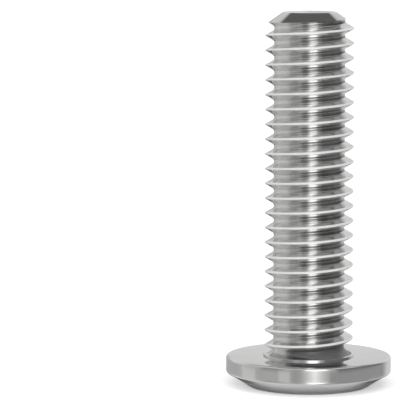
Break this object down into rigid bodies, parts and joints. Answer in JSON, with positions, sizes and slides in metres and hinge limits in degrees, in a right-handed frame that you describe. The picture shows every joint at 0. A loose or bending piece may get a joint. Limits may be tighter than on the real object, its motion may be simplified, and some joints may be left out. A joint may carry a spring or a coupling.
{
  "type": "flat head hex socket screw",
  "caption": "Machine screw with a wide flat head, a bevelled outer edge, a hex socket and a right-hand metric thread along the whole shank, for clamping panels and furniture joints.",
  "frame": {"origin": "centre of the flat outer face of the head, which stands on the surface", "axes": "+Z along the shank from the head to the tip, +X to the right in the picture's view"},
  "size_m": [0.0112, 0.0112, 0.0254],
  "materials": {
    "steel": "polished stainless steel with fine turning marks"
  },
  "bodies": {
    "root": {"screw": "steel"}
  },
  "joints": []
}
